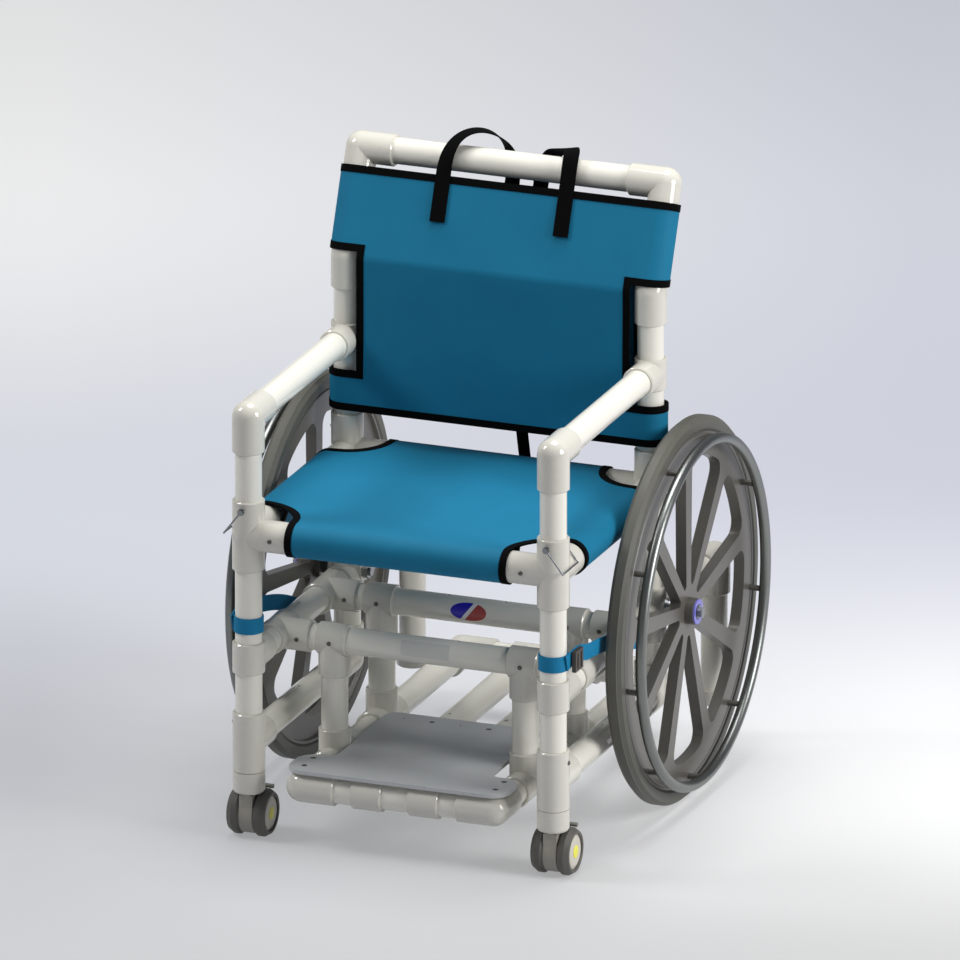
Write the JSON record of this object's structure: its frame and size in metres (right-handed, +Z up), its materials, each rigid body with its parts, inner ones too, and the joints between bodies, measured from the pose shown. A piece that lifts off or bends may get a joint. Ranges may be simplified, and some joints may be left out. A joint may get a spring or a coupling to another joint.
{
  "type": "pool access chair",
  "caption": "Plastic pipe wheelchair for pool access, with a sling seat and back, large push-rim wheels, casters and a sliding footrest.",
  "frame": {"origin": "middle of the bounding box's bottom face, on the floor", "axes": "+X towards the sitter's left, -Y the way the sitter faces, +Z up"},
  "size_m": [0.696, 0.7618, 1.0236],
  "materials": {
    "pipe_plastic": "extruded, smooth",
    "fitting_plastic": "moulded, smooth",
    "screw_steel": "dull, bare",
    "plain_steel": "turned, bare",
    "tyre_rubber": "moulded, dull",
    "wheel_plastic": "moulded, satin",
    "pushrim_metal": "polished",
    "hub_plastic": "moulded, glossy",
    "caster_rubber": "moulded, dull",
    "caster_disc_plastic": "moulded, smooth",
    "caster_plastic": "moulded, satin",
    "pedal_plastic": "moulded, satin",
    "plate_plastic": "sheet, satin",
    "sling_cloth": "coated weave, matt",
    "black_webbing": "woven, matt",
    "blue_webbing": "woven, matt",
    "buckle_plastic": "moulded, smooth"
  },
  "bodies": {
    "frame": {"front_post_pipes": "pipe_plastic", "rear_post_pipes": "pipe_plastic", "arm_pipes": "pipe_plastic", "seat_rails": "pipe_plastic", "mid_rails": "pipe_plastic", "low_rails": "pipe_plastic", "cross_bars": "pipe_plastic", "hanger_pipes": "pipe_plastic", "tip_pipes": "pipe_plastic", "push_bar": "pipe_plastic", "arm_elbows": "fitting_plastic", "short_tees": "fitting_plastic", "seat_corners": "fitting_plastic", "rail_tees": "fitting_plastic", "slip_tees": "fitting_plastic", "axle_crosses": "fitting_plastic", "low_tees": "fitting_plastic", "rail_elbows": "fitting_plastic", "tip_caps": "fitting_plastic", "bend_elbows": "fitting_plastic", "push_elbows": "fitting_plastic", "caster_cups": "fitting_plastic", "frame_screws": "screw_steel", "axle_sleeves": "plain_steel", "axle_bolts": "plain_steel", "seat_sling": "sling_cloth", "back_sling": "sling_cloth", "back_straps": "black_webbing", "post_straps": "blue_webbing", "strap_buckle": "buckle_plastic", "lock_pins": "plain_steel"},
    "wheel_left": {"wheel_left_tyre": "tyre_rubber", "wheel_left_rim": "wheel_plastic", "wheel_left_spokes": "wheel_plastic", "wheel_left_pushrim": "pushrim_metal", "wheel_left_cap": "hub_plastic", "wheel_left_bearings": "plain_steel"},
    "caster_left": {"caster_left_body": "caster_plastic"},
    "caster_wheels_left": {"caster_left_tyres": "caster_rubber", "caster_left_discs": "caster_disc_plastic"},
    "pedal_left": {"caster_left_pedal": "pedal_plastic"},
    "bail_left": {"lock_bail_left": "plain_steel"},
    "wheel_right": {"wheel_right_tyre": "tyre_rubber", "wheel_right_rim": "wheel_plastic", "wheel_right_spokes": "wheel_plastic", "wheel_right_pushrim": "pushrim_metal", "wheel_right_cap": "hub_plastic", "wheel_right_bearings": "plain_steel"},
    "caster_right": {"caster_right_body": "caster_plastic"},
    "caster_wheels_right": {"caster_right_tyres": "caster_rubber", "caster_right_discs": "caster_disc_plastic"},
    "pedal_right": {"caster_right_pedal": "pedal_plastic"},
    "bail_right": {"lock_bail_right": "plain_steel"},
    "footrest": {"foot_rails": "pipe_plastic", "foot_bars": "pipe_plastic", "foot_elbows": "fitting_plastic", "foot_tees": "fitting_plastic", "footplate": "plate_plastic", "plate_screws": "screw_steel"}
  },
  "joints": [
    {"name": "footrest_slide", "type": "slide", "parent": "frame", "child": "footrest", "axis": [0, -1, 0], "range_m": [-0.024, 0.237]},
    {"name": "wheel_left_spin", "type": "hinge", "parent": "frame", "child": "wheel_left", "pos_m": [-0.31, 0.0755, 0.3048], "axis": [1, 0, 0], "continuous": true},
    {"name": "caster_left_swivel", "type": "hinge", "parent": "frame", "child": "caster_left", "pos_m": [-0.2515, -0.3445, 0.08], "axis": [0, 0, 1], "continuous": true},
    {"name": "caster_left_roll", "type": "hinge", "parent": "caster_left", "child": "caster_wheels_left", "pos_m": [-0.2515, -0.3285, 0.0375], "axis": [1, 0, 0], "continuous": true},
    {"name": "pedal_left_press", "type": "hinge", "parent": "caster_left", "child": "pedal_left", "pos_m": [-0.2515, -0.3065, 0.058], "axis": [-1, 0, 0], "range_deg": [0, 58]},
    {"name": "bail_left_lift", "type": "hinge", "parent": "frame", "child": "bail_left", "pos_m": [-0.2515, -0.3445, 0.54], "axis": [0, 1, 0], "range_deg": [0, 100]},
    {"name": "wheel_right_spin", "type": "hinge", "parent": "frame", "child": "wheel_right", "pos_m": [0.31, 0.0755, 0.3048], "axis": [1, 0, 0], "continuous": true},
    {"name": "caster_right_swivel", "type": "hinge", "parent": "frame", "child": "caster_right", "pos_m": [0.2515, -0.3445, 0.08], "axis": [0, 0, 1], "continuous": true},
    {"name": "caster_right_roll", "type": "hinge", "parent": "caster_right", "child": "caster_wheels_right", "pos_m": [0.2515, -0.3285, 0.0375], "axis": [1, 0, 0], "continuous": true},
    {"name": "pedal_right_press", "type": "hinge", "parent": "caster_right", "child": "pedal_right", "pos_m": [0.2515, -0.3065, 0.058], "axis": [-1, 0, 0], "range_deg": [0, 58]},
    {"name": "bail_right_lift", "type": "hinge", "parent": "frame", "child": "bail_right", "pos_m": [0.2515, -0.3445, 0.54], "axis": [0, -1, 0], "range_deg": [0, 100]}
  ]
}
